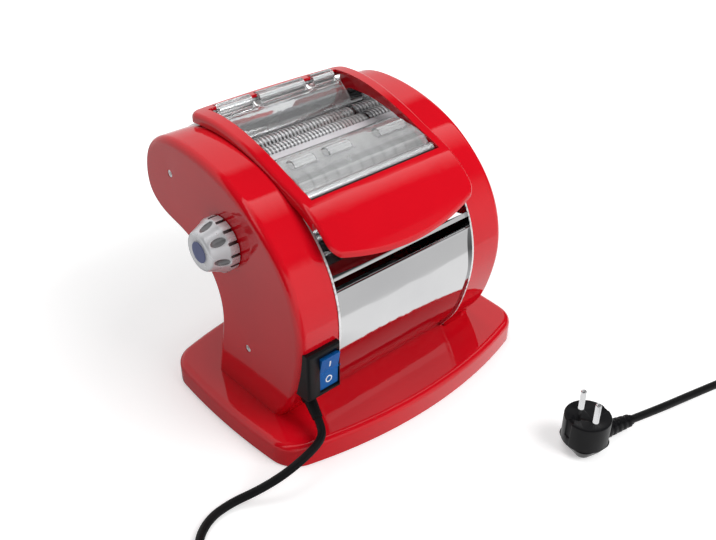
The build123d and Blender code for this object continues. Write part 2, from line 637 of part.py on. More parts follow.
# --- guards --------------------------------------------------------------
GUARD_X = (FRAME_MID - WINDOW_HALF + GUARD_GAP, FRAME_MID + WINDOW_HALF - GUARD_GAP)
WIDE_OF_ALL = (-200.0, 200.0)


def guard_back():
    """Clear flap behind the fine cutter, on three barrels with arms that reach over the gap."""
    y, z = BACK_HINGE
    sheet = [(y - 8.5, z - 3.2), (70, 226.5), (62, 218.5), (60.8, 213)]
    guard = across(strip_face(sheet, 0, -GUARD_THICK), *GUARD_X)
    arm = make_face(Polyline((y, z + 3), (y, z - 3), (sheet[0][0] - 1, sheet[0][1] - 1.5),
                             (sheet[0][0] - 1.2, sheet[0][1] + 1.2), close=True))
    for x0, x1 in BACK_BARRELS:
        guard += rod(BACK_HINGE, BARREL_R, x0, x1) + across(arm, x0, x1)
    return guard - rod(BACK_HINGE, ROD_R + ROD_GAP, *WIDE_OF_ALL)


def guard_front():
    """Clear cover over the wide cutter, with three raised tunnels."""
    y, z = FRONT_HINGE
    sheet = [(y + 2.2, z + 1.2), (-34, 214.3), (-22, 218), (-8, 219.4), (6, 217.6), (15.5, 212.6)]
    guard = across(strip_face(sheet, 0, -GUARD_THICK), *GUARD_X)
    guard += rod(FRONT_HINGE, ROD_R + 2.2, *GUARD_X)
    guard -= rod(FRONT_HINGE, ROD_R + ROD_GAP, *WIDE_OF_ALL)
    for x0, x1 in FRONT_BARRELS:
        arch = rod(ARCH_AT, ARCH_R, x0, x1) - rod(ARCH_AT, ARCH_R - 1.6, x0 - 1, x1 + 1)
        guard += arch - across(strip_face(sheet, -GUARD_THICK, -20), x0 - 1, x1 + 1)
    return guard


def hinge_rod(at):
    return rod(at, ROD_R, BAY_LEFT, BAY_RIGHT)


# --- knob ----------------------------------------------------------------
KNOB_SHAFT_R = 8.0
KNOB_BACK = BAY_LEFT - PLATE - COVER_WIDE - 0.8
CAM_R = 11.0
CAM_BORE = STUB_R + (ROLLER_FRONT[0] - KNOB_AXIS[0]) + 0.2


def knob():
    deep = KNOB_BACK - KNOB_FACE
    low, high = deep * KNOB_SKIRT, deep - 2.5
    outline = [Line((0, 0), (KNOB_R, 0)), Line((KNOB_R, 0), (KNOB_R, low)),
               Line((KNOB_R, low), (KNOB_R - 1.0, low + 1.2)),
               Line((KNOB_R - 1.0, low + 1.2), (KNOB_TIP_R + 1.4, high)),
               ThreePointArc((KNOB_TIP_R + 1.4, high), (KNOB_TIP_R + 0.1, deep - 0.9), (KNOB_TIP_R - 1.8, deep - 0.3)),
               Line((KNOB_TIP_R - 1.8, deep - 0.3), (0, deep - 0.3)), Line((0, deep - 0.3), (0, 0))]
    grip = revolve(Plane.XZ * make_face(outline), Axis.Z)
    cone_in, cone_out = KNOB_TIP_R + 1.4, KNOB_R - 1.0
    lean = degrees(atan2(cone_out - cone_in, high - low - 1.2))
    reach = (cone_in + cone_out) / 2 + SCOOP[0] - SCOOP_DEEP
    dent = Pos(reach, 0, (low + 1.2 + high) / 2) * Rot(0, -lean, 0) * scale(Sphere(1), by=SCOOP)
    for i in range(SCOOPS):
        grip -= Rot(0, 0, 360 * i / SCOOPS) * dent
    for i in range(NOTCHES):
        grip -= Rot(0, 0, 360 * (i + 0.5) / NOTCHES) * Pos(KNOB_R, 0, low / 2) * Box(3.4, 2.6, low + 1)
    grip -= Pos(0, 0, deep - 2.8) * Cylinder(CAP_R + 0.05, 4, align=(Align.CENTER, Align.CENTER, Align.MIN))
    grip = Pos(KNOB_BACK, *KNOB_AXIS) * Rot(0, -90, 0) * grip
    sleeve = rod(KNOB_AXIS, KNOB_SHAFT_R, KNOB_BACK - 1, CAM_LAYER[0])
    cam = rod(KNOB_AXIS, CAM_R, *CAM_LAYER) - rod(ROLLER_FRONT, CAM_BORE, CAM_LAYER[0] + 1, CAM_LAYER[1] + 1)
    return grip + sleeve + cam


CAP_R = 9.0


def knob_cap():
    return rod(KNOB_AXIS, CAP_R, KNOB_FACE, KNOB_FACE + 2.8)


# --- switch --------------------------------------------------------------
SWITCH_BACK = -68.0
ROCKER_DEEP = 9.0
ROCKER_GAP = 0.5
PIVOT_DEEP = 2.0
PIVOT_R = 1.5
PIVOT_LONG = 2.5


def rocker_mid():
    return ((ROCKER_X[0] + ROCKER_X[1]) / 2, (ROCKER_Z[0] + ROCKER_Z[1]) / 2)


def rocker_pivot():
    return (SWITCH_FACE + PIVOT_DEEP, rocker_mid()[1])


def switch_housing():
    housing = box(SWITCH_X[0], SWITCH_X[1], SWITCH_FACE, SWITCH_BACK, *SWITCH_Z)
    housing = fillet(housing.faces().sort_by(Axis.Y)[0].edges(), 2.5)
    housing -= box(ROCKER_X[0] - ROCKER_GAP, ROCKER_X[1] + ROCKER_GAP, SWITCH_FACE - 1, SWITCH_FACE + 14,
                   ROCKER_Z[0] - 1.0, ROCKER_Z[1] + 1.0)
    return housing - rod(rocker_pivot(), PIVOT_R + RUN_GAP, ROCKER_X[0] - PIVOT_LONG, ROCKER_X[1] + PIVOT_LONG)


def switch_rocker():
    """Rocker with a shallow valley, resting with its lower half pressed in, on two short pins."""
    half = (ROCKER_Z[1] - ROCKER_Z[0]) / 2
    outline = Polyline((-2.4, -half), (-1.0, 0), (-2.4, half), (ROCKER_DEEP - 3, half * 0.8),
                       (ROCKER_DEEP, 0), (ROCKER_DEEP - 3, -half * 0.8), close=True)
    key = extrude(Plane.YZ * make_face(outline), amount=(ROCKER_X[1] - ROCKER_X[0]) / 2, both=True)
    key = Pos(rocker_mid()[0], *rocker_pivot()) * Rot(ROCKER_TILT, 0, 0) * key
    return key + rod(rocker_pivot(), PIVOT_R, ROCKER_X[0] - PIVOT_LONG + 0.3, ROCKER_X[1] + PIVOT_LONG - 0.3)


# --- cord ----------------------------------------------------------------
def aim(start, end):
    return Plane(origin=start, z_dir=Vector(*end) - Vector(*start))


def gland_hole():
    return aim(GLAND_AT, CORD_OUT) * Cylinder(GLAND_R + RUN_GAP, 2 * GLAND_IN)


def cord_gland():
    """Tapered strain relief with a collar that sits in the cover's wall."""
    long = (Vector(*CORD_OUT) - Vector(*GLAND_AT)).length
    collar = Pos(0, 0, -GLAND_IN) * Cylinder(GLAND_R, GLAND_IN + GLAND_OUT,
                                             align=(Align.CENTER, Align.CENTER, Align.MIN))
    collar = fillet(collar.edges().sort_by(Axis.Z)[-1], 1.5)
    taper = Cone(*GLAND_TAPER, long, align=(Align.CENTER, Align.CENTER, Align.MIN))
    return aim(GLAND_AT, CORD_OUT) * (collar + taper)


def arc_radii(points):
    """Each arc takes 0.45 of the shorter run beside it."""
    radii = []
    for a, b, c in zip(points, points[1:], points[2:]):
        u, v = Vector(*b) - Vector(*a), Vector(*c) - Vector(*b)
        turn = acos(max(-1, min(1, u.dot(v) / (u.length * v.length))))
        radii.append(0.45 * min(u.length, v.length) / tan(turn / 2))
    return radii


def tube(points, name):
    radii = arc_radii(points)
    path = FilletPolyline(*points, radius=radii)
    solid = sweep(aim(points[0], points[1]) * Circle(CORD_D / 2), path=path)
    section = pi * (CORD_D / 2) ** 2
    print(name, "length", round(path.length, 1), "volume/section", round(solid.volume / section, 1),
          "radii", [round(r) for r in radii])
    return solid


def cord_coil():
    """Outer shape of the tied coil: a ring two cords wide and two high."""
    ring = Circle(COIL_R + CORD_D) - Circle(COIL_R - CORD_D)
    return Pos(*COIL_MID) * extrude(ring, amount=2 * CORD_D)


# --- plug ----------------------------------------------------------------
def plug_place():
    return Pos(*PLUG_MID) * Rot(0, 0, PLUG_TURN)


def in_plug_line(reach):
    """A place on the line that the cord follows out of the plug."""
    x, y = polar(PLUG_MID, reach, PLUG_TURN)
    return (x, y, RELIEF_Z)


def relief():
    """Tapered ribbed sleeve, as one turned profile."""
    (x0, x1), (r0, r1) = RELIEF_X, RELIEF_R
    step = (x1 - x0) / (2 * RELIEF_RIBS)
    outline = [(x0 - 6, 0), (x0 - 6, r0)]
    for i in range(2 * RELIEF_RIBS):
        r = r0 + (r1 - r0) * (i + 0.5) / (2 * RELIEF_RIBS) - (RIB_DEEP if i % 2 else 0)
        outline += [(x0 + step * i, r), (x0 + step * (i + 1), r)]
    outline.append((x1, 0))
    return Pos(0, 0, RELIEF_Z) * revolve(Plane.XZ * make_face(Polyline(*outline, close=True)), Axis.X)


def plug_body():
    """Angled plug, pins up: a drum on a tapered foot, with the lead going out low at one side."""
    drum = Pos(0, 0, PLUG_FOOT) * Cylinder(PLUG_R, PLUG_TALL - PLUG_FOOT,
                                           align=(Align.CENTER, Align.CENTER, Align.MIN))
    drum = fillet(drum.edges().sort_by(Axis.Z)[-1], 1.2)
    foot = Pos(0, 0, PLUG_FOOT) * extrude(RectangleRounded(1.8 * PLUG_R, 1.9 * PLUG_R, 0.62 * PLUG_R),
                                          amount=-PLUG_FOOT, taper=30)
    neck = box(0, RELIEF_X[0], -8.5, 8.5, 1, RELIEF_Z + RELIEF_R[0])
    body = drum + foot + neck + relief()
    for y in (-PIN_GAP / 2, PIN_GAP / 2):
        body -= Pos(0, y, PLUG_TALL) * Cylinder(PIN_R + PIN_GRIP, 2 * PIN_SUNK)
    body -= Pos(EARTH_HOLE[0], 0, PLUG_TALL) * Cylinder(EARTH_HOLE[1], 24)
    for x in (-PLUG_R, PLUG_R):
        body -= Pos(x, 0, PLUG_TALL - 6) * Box(3, 6, 20)
    return plug_place() * body


PIN_SUNK = 6.0
PIN_GRIP = 0.02              # pins in the moulding


def plug_pin(y):
    pin = Pos(0, y, PLUG_TALL - PIN_SUNK) * Cylinder(PIN_R, PIN_LONG + PIN_SUNK,
                                                     align=(Align.CENTER, Align.CENTER, Align.MIN))
    return plug_place() * fillet(pin.edges().sort_by(Axis.Z)[-1], 1.4)


def save_cord():
    save(cord_gland(), "cord_gland")
    first = Vector(*CORD_OUT)
    second = first + (first - Vector(*GLAND_AT)).normalized() * EXIT_RUN
    save(tube([CORD_OUT, tuple(second)] + ROUTE_OUT, "cord_out"), "cord_out")
    save(cord_coil(), "cord_coil")
    last = RELIEF_X[1]
    save(tube(ROUTE_BACK + [in_plug_line(last + PLUG_RUN), in_plug_line(last)], "cord_back"), "cord_back")
    save(plug_body(), "plug_body")
    save(Compound([plug_pin(y) for y in (-PIN_GAP / 2, PIN_GAP / 2)]), "plug_pins")


def save_drive():
    """Rollers, cutters, gears and what holds them."""
    gear_ends = GEAR_A[0]
    save(roller_front(), "roller_front")
    save(roller_back(), "roller_back")
    save(cutter(FINE_FRONT, PHASE_FINE_FRONT, [GEAR_A], gear_ends), "cutter_fine_front")
    save(cutter(FINE_BACK, PHASE_FINE_BACK, [GEAR_A, GEAR_B], BRIDGE[0]), "cutter_fine_back")
    save(cutter(WIDE_BACK, PHASE_WIDE_BACK, [GEAR_A], gear_ends, ROLL_X[0] + RING_GAP), "cutter_wide_back")
    save(cutter(WIDE_FRONT, PHASE_WIDE_FRONT, [GEAR_A], gear_ends, ROLL_X[0] + WIDE_STRIP + RING_GAP),
         "cutter_wide_front")
    for name, at, teeth, phase, layer, end_x in (
            ("idler_cut", IDLER_CUT, IDLER_CUT_TEETH, PHASE_IDLER_CUT, GEAR_A, GEAR_A[0] - 1),
            ("idler_fine", IDLER_FINE, IDLER_FINE_TEETH, PHASE_IDLER_FINE, GEAR_B, BRIDGE[0]),
            ("idler_main", IDLER, IDLER_TEETH, PHASE_IDLER, GEAR_B, BRIDGE[0]),
            ("gear_wheel", WHEEL, WHEEL_TEETH, PHASE_WHEEL, GEAR_B, BRIDGE[0])):
        save(loose_gear(at, teeth, phase, layer), name)
        save(spindle(at, layer, end_x), f"pin_{name}")
    save(gear_bridge(), "gear_bridge")
    save(motor(), "motor")
    save(gearbox(), "gearbox")
    save(motor_pinion(), "motor_pinion")
    save(carrier(BAY_LEFT - PLATE - 1.5, BAY_LEFT + 1), "carrier_left")
    save(carrier(BAY_RIGHT - 1, BAY_RIGHT + PLATE + 1.5), "carrier_right")


def save_body():
    left_x, right_x = BAY_LEFT - PLATE - COVER_WIDE, BAY_RIGHT + PLATE + COVER_WIDE
    save(base_tray(), "base_tray")
    for i, spot in enumerate(foot_places()):
        save(rubber_foot(spot), f"rubber_foot_{i + 1}")
    save(side_plate(BAY_LEFT - PLATE, True), "side_plate_left")
    save(side_plate(BAY_RIGHT, False), "side_plate_right")
    save(cover_left(), "cover_left")
    save(cover_right(), "cover_right")
    for side, outer_x, way, screws in (("left", left_x, -1, SCREWS_LEFT), ("right", right_x, 1, SCREWS_RIGHT)):
        save(Compound([cover_screw(at, outer_x, way) for at in screws]), f"cover_screws_{side}")
    save(top_frame(), "top_frame")
    save(front_strip(), "front_strip")
    save(front_panel(), "front_panel")
    save(back_panel(), "back_panel")
    save(head_panel(), "head_panel")
    save(guide_bar(), "guide_bar")
    save(front_deflector(), "deflector_front")
    save(back_deflector(), "deflector_back")
    save(sheet_chute(), "sheet_chute")
    save(scraper(WIDE_FRONT, WIDE_BACK), "scraper_wide")
    save(scraper(FINE_FRONT, FINE_BACK), "scraper_fine")
    for i, at in enumerate(TIES):
        save(tie_rod(at), f"tie_rod_{i + 1}")


def save_controls():
    save(guard_back(), "guard_back")
    save(guard_front(), "guard_front")
    save(hinge_rod(BACK_HINGE), "hinge_rod_back")
    save(hinge_rod(FRONT_HINGE), "hinge_rod_front")
    save(knob(), "knob")
    save(knob_cap(), "knob_cap")
    save(switch_housing(), "switch_housing")
    save(switch_rocker(), "switch_rocker")


os.makedirs("parts", exist_ok=True)
save_body()
save_drive()
save_controls()
save_cord()
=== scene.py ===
import json
import math

import bmesh
import bpy
from mathutils import Matrix, Vector


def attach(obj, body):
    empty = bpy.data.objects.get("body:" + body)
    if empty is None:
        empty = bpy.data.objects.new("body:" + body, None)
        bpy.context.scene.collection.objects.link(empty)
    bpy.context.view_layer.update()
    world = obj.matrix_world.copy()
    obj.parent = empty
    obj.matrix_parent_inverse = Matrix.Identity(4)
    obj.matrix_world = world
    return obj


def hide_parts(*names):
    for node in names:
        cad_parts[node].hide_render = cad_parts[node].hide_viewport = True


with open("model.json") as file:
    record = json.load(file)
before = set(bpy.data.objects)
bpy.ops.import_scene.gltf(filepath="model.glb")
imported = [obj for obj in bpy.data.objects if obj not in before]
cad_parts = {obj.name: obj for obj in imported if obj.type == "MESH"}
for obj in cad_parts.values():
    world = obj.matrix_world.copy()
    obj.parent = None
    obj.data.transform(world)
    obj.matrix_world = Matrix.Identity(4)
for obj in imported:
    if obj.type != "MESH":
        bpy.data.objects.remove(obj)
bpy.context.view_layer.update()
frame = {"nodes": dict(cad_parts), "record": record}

bl_info = {
    "name": "Electric pasta maker",
    "version": (1, 0, 0),
    "blender": (4, 5, 0),
    "location": "View3D > Sidebar > Pasta maker",
    "description": "Finishes, small parts and mains lead of an electric pasta maker",
    "category": "Object",
}

MM = 0.001
WELD, CAD_WELD = 0.001 * MM, 0.002 * MM
SLOT_OF = {part["node"]: part["material_slot"] for part in frame["record"]["subparts"]}

# Sizes and places that the solids have too, in millimetres. An axis along X is given by its y and z
ROCKER_PIVOT = (-96.5, -93.5, 81.75)
CORD_EXIT = (-108.0, -93.0, 37.5)
ROUTE_OUT = [(-109.977, -101.156, 32.063), (-118.5, -108.5, 30.0), (-137.0, -113.0, 28.5),
             (-158.0, -110.5, 20.5), (-177.5, -101.5, 10.0), (-196.0, -93.0, 4.0), (-218.0, -94.0, 3.5),
             (-238.0, -107.5, 3.5), (-248.0, -131.0, 3.5), (-250.0, -163.0, 3.5), (-243.0, -200.0, 3.5),
             (-223.4, -242.0, 3.5)]
COIL_MID = (-168.0, -262.0)
COIL_IN, COIL_OUT = 34.5, 41.5
COIL_LOW, COIL_HIGH = 3.5, 10.5
ROUTE_BACK = [(-155.5, -306.4, 10.5), (-130.0, -308.0, 3.5), (-80.0, -324.0, 3.5), (-30.0, -348.0, 3.5),
              (22.0, -370.0, 3.5), (78.0, -378.0, 3.5), (135.0, -371.0, 3.5), (190.6, -363.5, 3.5),
              (235.2, -355.8, 3.5), (255.5, -334.0, 3.5), (257.5, -303.9, 3.5), (239.9, -279.4, 3.5),
              (205.0, -270.3, 3.5), (169.0, -262.5, 5.0), (135.98, -257.50, 9.0), (109.06, -249.78, 9.0)]
FINE_FRONT, FINE_BACK = (49.5, 196.0), (69.0, 196.0)
RINGS_X = (-78.4, 71.4)
KNOB_AXIS = (1.9, 167.0)
KNOB_CONE = ((-142.5, 16.9), (-130.4, 22.0))  # x and radius at its two ends
KNOB_SKIRT, KNOB_SKIRT_R = (-129.2, -122.0), 23.0

# Angles that the solids have too, in degrees
ROCKER_TILT = 7.0
COIL_START, COIL_STEP, COIL_RAMP = -150.0, 15.0, 60.0
COIL_STEPS = 76

# Sizes that only the scene has, in millimetres, and angles in degrees
COIL_SPREAD = 1.0086  # a smooth line runs inside its points by this share
TIE_AT, TIE_HEIGHT = -128.0, 7.35  # angle round the coil, and height of the tie's middle
TIE_HALF, TIE_ROUND = (7.3, 6.6), 3.2  # half width and half height inside, and corner radius
TIE_WIDE, TIE_THICK = 5.0, 0.7
RING_FOOT, RING_TOP = 9.42, 10.35  # radii
RING_LESS = 0.1  # how much narrower a ring is than half a pitch
RING_START = 0.3  # from the comb's end to its first ring
# Groove faces between the fine cutters' rings are painted near black as shade
GROOVE_REACH = 0.03  # faces this near the rings' foot are groove
# The knob's recess faces get a darker copy of its silver as painted shade
RECESS_DEPTH = 0.45  # faces this far inside the knob's outline are recess
FLAT_ANGLE, EDGE_ANGLE = 0.4, 40.0  # edges below the first are flat, and above the second sharp
MARK_BAR, MARK_RING, MARK_THICK = (1.3, 6.0), (2.3, 3.4), 0.12
MARK_OUT, MARK_UP, MARK_SLOPE = -1.72, 8.2, 4.9  # from the rocker's pivot

# Colours that no setting changes
CHROME_TONES = ((0.67, 0.67, 0.675, 1.0), (0.63, 0.63, 0.64, 1.0))
CLEAR = (0.97, 0.98, 0.985, 1.0)
BAR_GREY = (0.70, 0.68, 0.71, 1.0)
SWITCH_BLACK = (0.006, 0.006, 0.007, 1.0)
SHEATH_BLACK = (0.006, 0.006, 0.0065, 1.0)
GEAR_CREAM = (0.62, 0.60, 0.54, 1.0)
MOTOR_GREY = (0.06, 0.06, 0.065, 1.0)
PRINT_WHITE = (0.92, 0.93, 0.94, 1.0)

# Every finish by its name, once main has made them
FINISHES = {}


# --- settings ------------------------------------------------------------
class PastaMakerFinish(bpy.types.PropertyGroup):
    paint: bpy.props.FloatVectorProperty(
        name="Paint", description="Colour of the lacquered covers, frame and base",
        subtype="COLOR", size=4, default=(0.68, 0.004, 0.013, 1.0))
    plastic: bpy.props.FloatVectorProperty(
        name="Switch blue", description="Colour of the rocker",
        subtype="COLOR", size=4, default=(0.008, 0.115, 0.40, 1.0))
    cap: bpy.props.FloatVectorProperty(
        name="Cap blue", description="Colour of the knob's cap",
        subtype="COLOR", size=4, default=(0.08, 0.105, 0.28, 1.0))
    knob: bpy.props.FloatVectorProperty(
        name="Knob silver", description="Colour of the thickness knob",
        subtype="COLOR", size=4, default=(0.74, 0.745, 0.77, 1.0))
    seam: bpy.props.FloatProperty(
        name="Seam angle", description="Edges sharper than this stay crisp",
        subtype="ANGLE", default=math.radians(32))


class PastaMakerSizes(bpy.types.PropertyGroup):
    cord: bpy.props.FloatProperty(
        name="Lead diameter", description="Thickness of the mains lead",
        subtype="DISTANCE", unit="LENGTH", default=0.007)
    pitch: bpy.props.FloatProperty(
        name="Fine cutter pitch", description="Distance between two rings of one fine cutter",
        subtype="DISTANCE", unit="LENGTH", default=0.004)
    lens: bpy.props.FloatProperty(
        name="Lens", description="Focal length of the stage's camera", unit="CAMERA", default=44.92)


def finish():
    return bpy.context.scene.pasta_maker_finish


def sizes():
    return bpy.context.scene.pasta_maker_sizes


# --- shared shader groups ------------------------------------------------
def new_group(name, inputs, outputs):
    tree = bpy.data.node_groups.new(name, "ShaderNodeTree")
    for label, value in inputs:
        socket = tree.interface.new_socket(name=label, in_out="INPUT", socket_type="NodeSocketFloat")
        socket.default_value = value
    for label in outputs:
        tree.interface.new_socket(name=label, in_out="OUTPUT", socket_type="NodeSocketFloat")
    start, end = tree.nodes.new("NodeGroupInput"), tree.nodes.new("NodeGroupOutput")
    start.location, end.location = (-700, 0), (500, 0)
    return tree, start, end


def add_node(tree, kind, place, **values):
    node = tree.nodes.new(kind)
    node.location = place
    for key, value in values.items():
        setattr(node, key, value)
    return node


def feed(tree, value, socket):
    """Links a socket, or sets a plain number."""
    if isinstance(value, bpy.types.NodeSocket):
        tree.links.new(value, socket)
    else:
        socket.default_value = value


def ranged(tree, value, low, high, place):
    """Maps 0..1 to low..high, where low and high may be sockets."""
    node = add_node(tree, "ShaderNodeMapRange", place)
    for label, source in (("Value", value), ("To Min", low), ("To Max", high)):
        feed(tree, source, node.inputs[label])
    return node.outputs["Result"]


def marks_group():
    """Soft clouds of handling marks that move the roughness between two values."""
    tree, start, end = new_group("Handling marks", [("Scale", 18.0), ("Smooth", 0.1), ("Rough", 0.2)],
                                 ["Roughness", "Mask"])
    place = add_node(tree, "ShaderNodeTexCoord", (-500, 0))
    cloud = add_node(tree, "ShaderNodeTexNoise", (-300, 0))
    cloud.inputs["Detail"].default_value = 5.0
    tree.links.new(place.outputs["Object"], cloud.inputs["Vector"])
    tree.links.new(start.outputs["Scale"], cloud.inputs["Scale"])
    curve = add_node(tree, "ShaderNodeMapRange", (-100, 0))
    curve.inputs["From Min"].default_value = 0.35
    curve.inputs["From Max"].default_value = 0.7
    tree.links.new(cloud.outputs["Fac"], curve.inputs["Value"])
    rough = ranged(tree, curve.outputs["Result"], start.outputs["Smooth"], start.outputs["Rough"], (150, 0))
    tree.links.new(rough, end.inputs["Roughness"])
    tree.links.new(curve.outputs["Result"], end.inputs["Mask"])


def grain_group():
    """Fine moulded or sprayed grain as a height, from stretched noise."""
    tree, start, end = new_group("Grain", [("Scale", 900.0), ("Stretch", 1.0), ("Detail", 2.0)], ["Height"])
    place = add_node(tree, "ShaderNodeTexCoord", (-600, -100))
    split = add_node(tree, "ShaderNodeSeparateXYZ", (-450, -100))
    squeeze = add_node(tree, "ShaderNodeMath", (-300, -200), operation="MULTIPLY")
    join = add_node(tree, "ShaderNodeCombineXYZ", (-150, -100))
    noise = add_node(tree, "ShaderNodeTexNoise", (50, 0))
    tree.links.new(place.outputs["Object"], split.inputs["Vector"])
    tree.links.new(split.outputs["X"], squeeze.inputs[0])
    tree.links.new(start.outputs["Stretch"], squeeze.inputs[1])
    tree.links.new(squeeze.outputs["Value"], join.inputs["X"])
    tree.links.new(split.outputs["Y"], join.inputs["Y"])
    tree.links.new(split.outputs["Z"], join.inputs["Z"])
    tree.links.new(join.outputs["Vector"], noise.inputs["Vector"])
    tree.links.new(start.outputs["Scale"], noise.inputs["Scale"])
    tree.links.new(start.outputs["Detail"], noise.inputs["Detail"])
    tree.links.new(noise.outputs["Fac"], end.inputs["Height"])


# --- materials -----------------------------------------------------------
def shader_of(name, sockets):
    """A new material, its tree and its Principled BSDF with plain values set."""
    made = bpy.data.materials.new(name)
    made.use_nodes = True
    tree = made.node_tree
    shader = tree.nodes["Principled BSDF"]
    for label, value in sockets.items():
        shader.inputs[label].default_value = value
    return made, tree, shader


def add_marks(tree, shader, scale, smooth, rough):
    """Uneven roughness on the shader. Returns the marks' mask."""
    group = add_node(tree, "ShaderNodeGroup", (-700, 0), node_tree=bpy.data.node_groups["Handling marks"])
    for label, value in (("Scale", scale), ("Smooth", smooth), ("Rough", rough)):
        group.inputs[label].default_value = value
    tree.links.new(group.outputs["Roughness"], shader.inputs["Roughness"])
    return group.outputs["Mask"]


def add_grain(tree, shader, scale, strength, depth, stretch=1.0, detail=2.0):
    """Fine relief on the shader, with a depth in metres."""
    group = add_node(tree, "ShaderNodeGroup", (-700, -350), node_tree=bpy.data.node_groups["Grain"])
    for label, value in (("Scale", scale), ("Stretch", stretch), ("Detail", detail)):
        group.inputs[label].default_value = value
    bump = add_node(tree, "ShaderNodeBump", (-300, -350))
    bump.inputs["Strength"].default_value = strength
    bump.inputs["Distance"].default_value = depth
    tree.links.new(group.outputs["Height"], bump.inputs["Height"])
    tree.links.new(bump.outputs["Normal"], shader.inputs["Normal"])


def tint(tree, shader, mask, low, high):
    """Base colour between two tones by a mask."""
    mix = add_node(tree, "ShaderNodeMix", (-350, 200), data_type="RGBA")
    mix.inputs["A"].default_value = low
    mix.inputs["B"].default_value = high
    tree.links.new(mask, mix.inputs["Factor"])
    tree.links.new(mix.outputs["Result"], shader.inputs["Base Color"])


def shade(colour, factor):
    """The colour made darker by a factor below 1."""
    return (colour[0] * factor, colour[1] * factor, colour[2] * factor, 1.0)


def red_lacquer():
    made, tree, shader = shader_of("Red lacquer", {
        "Coat Weight": 1.0, "Coat Roughness": 0.045, "Coat IOR": 1.5, "Specular IOR Level": 0.0})
    mask = add_marks(tree, shader, scale=9.0, smooth=0.5, rough=0.62)
    add_grain(tree, shader, scale=380.0, strength=0.05, depth=0.0002)
    tint(tree, shader, mask, finish().paint, shade(finish().paint, 0.9))
    return made


def bright_chrome():
    made, tree, shader = shader_of("Bright chrome", {"Metallic": 1.0})
    mask = add_marks(tree, shader, scale=14.0, smooth=0.045, rough=0.09)
    add_grain(tree, shader, scale=260.0, strength=0.003, depth=0.0002, stretch=0.15)
    tint(tree, shader, mask, *CHROME_TONES)
    return made


def steel(name, tone, stretch=1.0, smooth=0.2, rough=0.34, metal=1.0):
    """Grey metal with a fine grain, brushed along X where the stretch is small."""
    made, tree, shader = shader_of(name, {"Metallic": metal})
    mask = add_marks(tree, shader, scale=30.0, smooth=smooth, rough=rough)
    add_grain(tree, shader, scale=1500.0, strength=0.25, depth=0.0001, stretch=stretch, detail=4.0)
    tint(tree, shader, mask, (tone, tone, tone * 1.02, 1), (tone * 0.88,) * 3 + (1,))
    return made


def clear_plastic(name, clear, smooth, rough):
    made, tree, shader = shader_of(name, {
        "Base Color": CLEAR, "IOR": 1.49, "Transmission Weight": clear,
        "Coat Weight": 1.0, "Coat Roughness": 0.03, "Coat IOR": 1.5})
    add_marks(tree, shader, scale=22.0, smooth=smooth, rough=rough)
    return made


def moulded(name, colour, smooth, rough, grain=0.3, gloss=0.5):
    """Moulded plastic or rubber with a fine grain and slightly uneven gloss."""
    made, tree, shader = shader_of(name, {"Specular IOR Level": gloss})
    mask = add_marks(tree, shader, scale=40.0, smooth=smooth, rough=rough)
    add_grain(tree, shader, scale=1400.0, strength=grain, depth=0.0001)
    tint(tree, shader, mask, colour, shade(colour, 0.82))
    return made


def silver_paint(name, depth):
    """Silver paint of the knob, darker where the depth is below 1, which paints shade into its recesses."""
    made, tree, shader = shader_of(name, {"Metallic": 0.35, "Coat Weight": 0.4, "Coat Roughness": 0.1})
    mask = add_marks(tree, shader, scale=50.0, smooth=0.24, rough=0.34)
    add_grain(tree, shader, scale=2600.0, strength=0.2, depth=0.0001)
    tint(tree, shader, mask, shade(finish().knob, depth), shade(finish().knob, 0.85 * depth))
    return made


def make_finishes():
    marks_group()
    grain_group()
    return {
        "red_paint": red_lacquer(),
        "chrome": bright_chrome(),
        "steel": steel("Brushed steel", tone=0.62, stretch=0.04),
        # Steel made pale and partly diffuse on the cutter teeth, a painted highlight
        "ring_steel_painted_highlight": steel("Cutter ring steel with painted highlight", tone=0.95, smooth=0.25, rough=0.35, metal=0.6),
        # Near-black steel in the cutter grooves is painted shade
        "groove_painted_shade": steel("Cutter groove painted shade", tone=0.02, smooth=0.5, rough=0.65),
        "wide_steel": steel("Wide cutter steel", tone=0.34, smooth=0.4, rough=0.55),
        "rod_steel": steel("Polished rod", tone=0.75, smooth=0.08, rough=0.12),
        # Whitish, partly diffuse plate edges stand for a bright edge line, a painted highlight
        "rim_painted_highlight": steel("Plate edge with painted highlight", tone=0.95, smooth=0.3, rough=0.4, metal=0.35),
        "screw_zinc": steel("Screw zinc", tone=0.9, smooth=0.35, rough=0.5),
        "zinc": steel("Zinc plate", tone=0.5),
        "nickel": steel("Nickel", tone=0.78),
        "clear_plastic": clear_plastic("Clear plastic", clear=0.93, smooth=0.015, rough=0.04),
        "hazy_plastic": clear_plastic("Hazy clear plastic", clear=0.86, smooth=0.2, rough=0.28),
        "silver_plastic": silver_paint("Silver plastic", depth=1.0),
        # A darker copy of the silver, painted shade in the knob's recesses
        "knob_painted_shade": silver_paint("Silver plastic with painted shade in recesses", depth=0.3),
        "grey_plastic": moulded("Grey anodised bar", BAR_GREY, smooth=0.28, rough=0.4),
        "blue_plastic": moulded("Blue plastic", finish().plastic, smooth=0.24, rough=0.34, grain=0.1,
                                gloss=0.12),
        "cap_blue": moulded("Blue cap", finish().cap, smooth=0.3, rough=0.4, grain=0.1),
        "black_plastic": moulded("Black plastic", SWITCH_BLACK, smooth=0.34, rough=0.46, gloss=0.18),
        "black_rubber": moulded("Black cable sheath", SHEATH_BLACK, smooth=0.42, rough=0.55, grain=0.4,
                                gloss=0.2),
        "gear_plastic": moulded("Gear plastic", GEAR_CREAM, smooth=0.4, rough=0.5),
        "motor_case": moulded("Motor case", MOTOR_GREY, smooth=0.4, rough=0.55, grain=0.5),
        "mark": moulded("White print", PRINT_WHITE, smooth=0.4, rough=0.5, grain=0.1),
    }


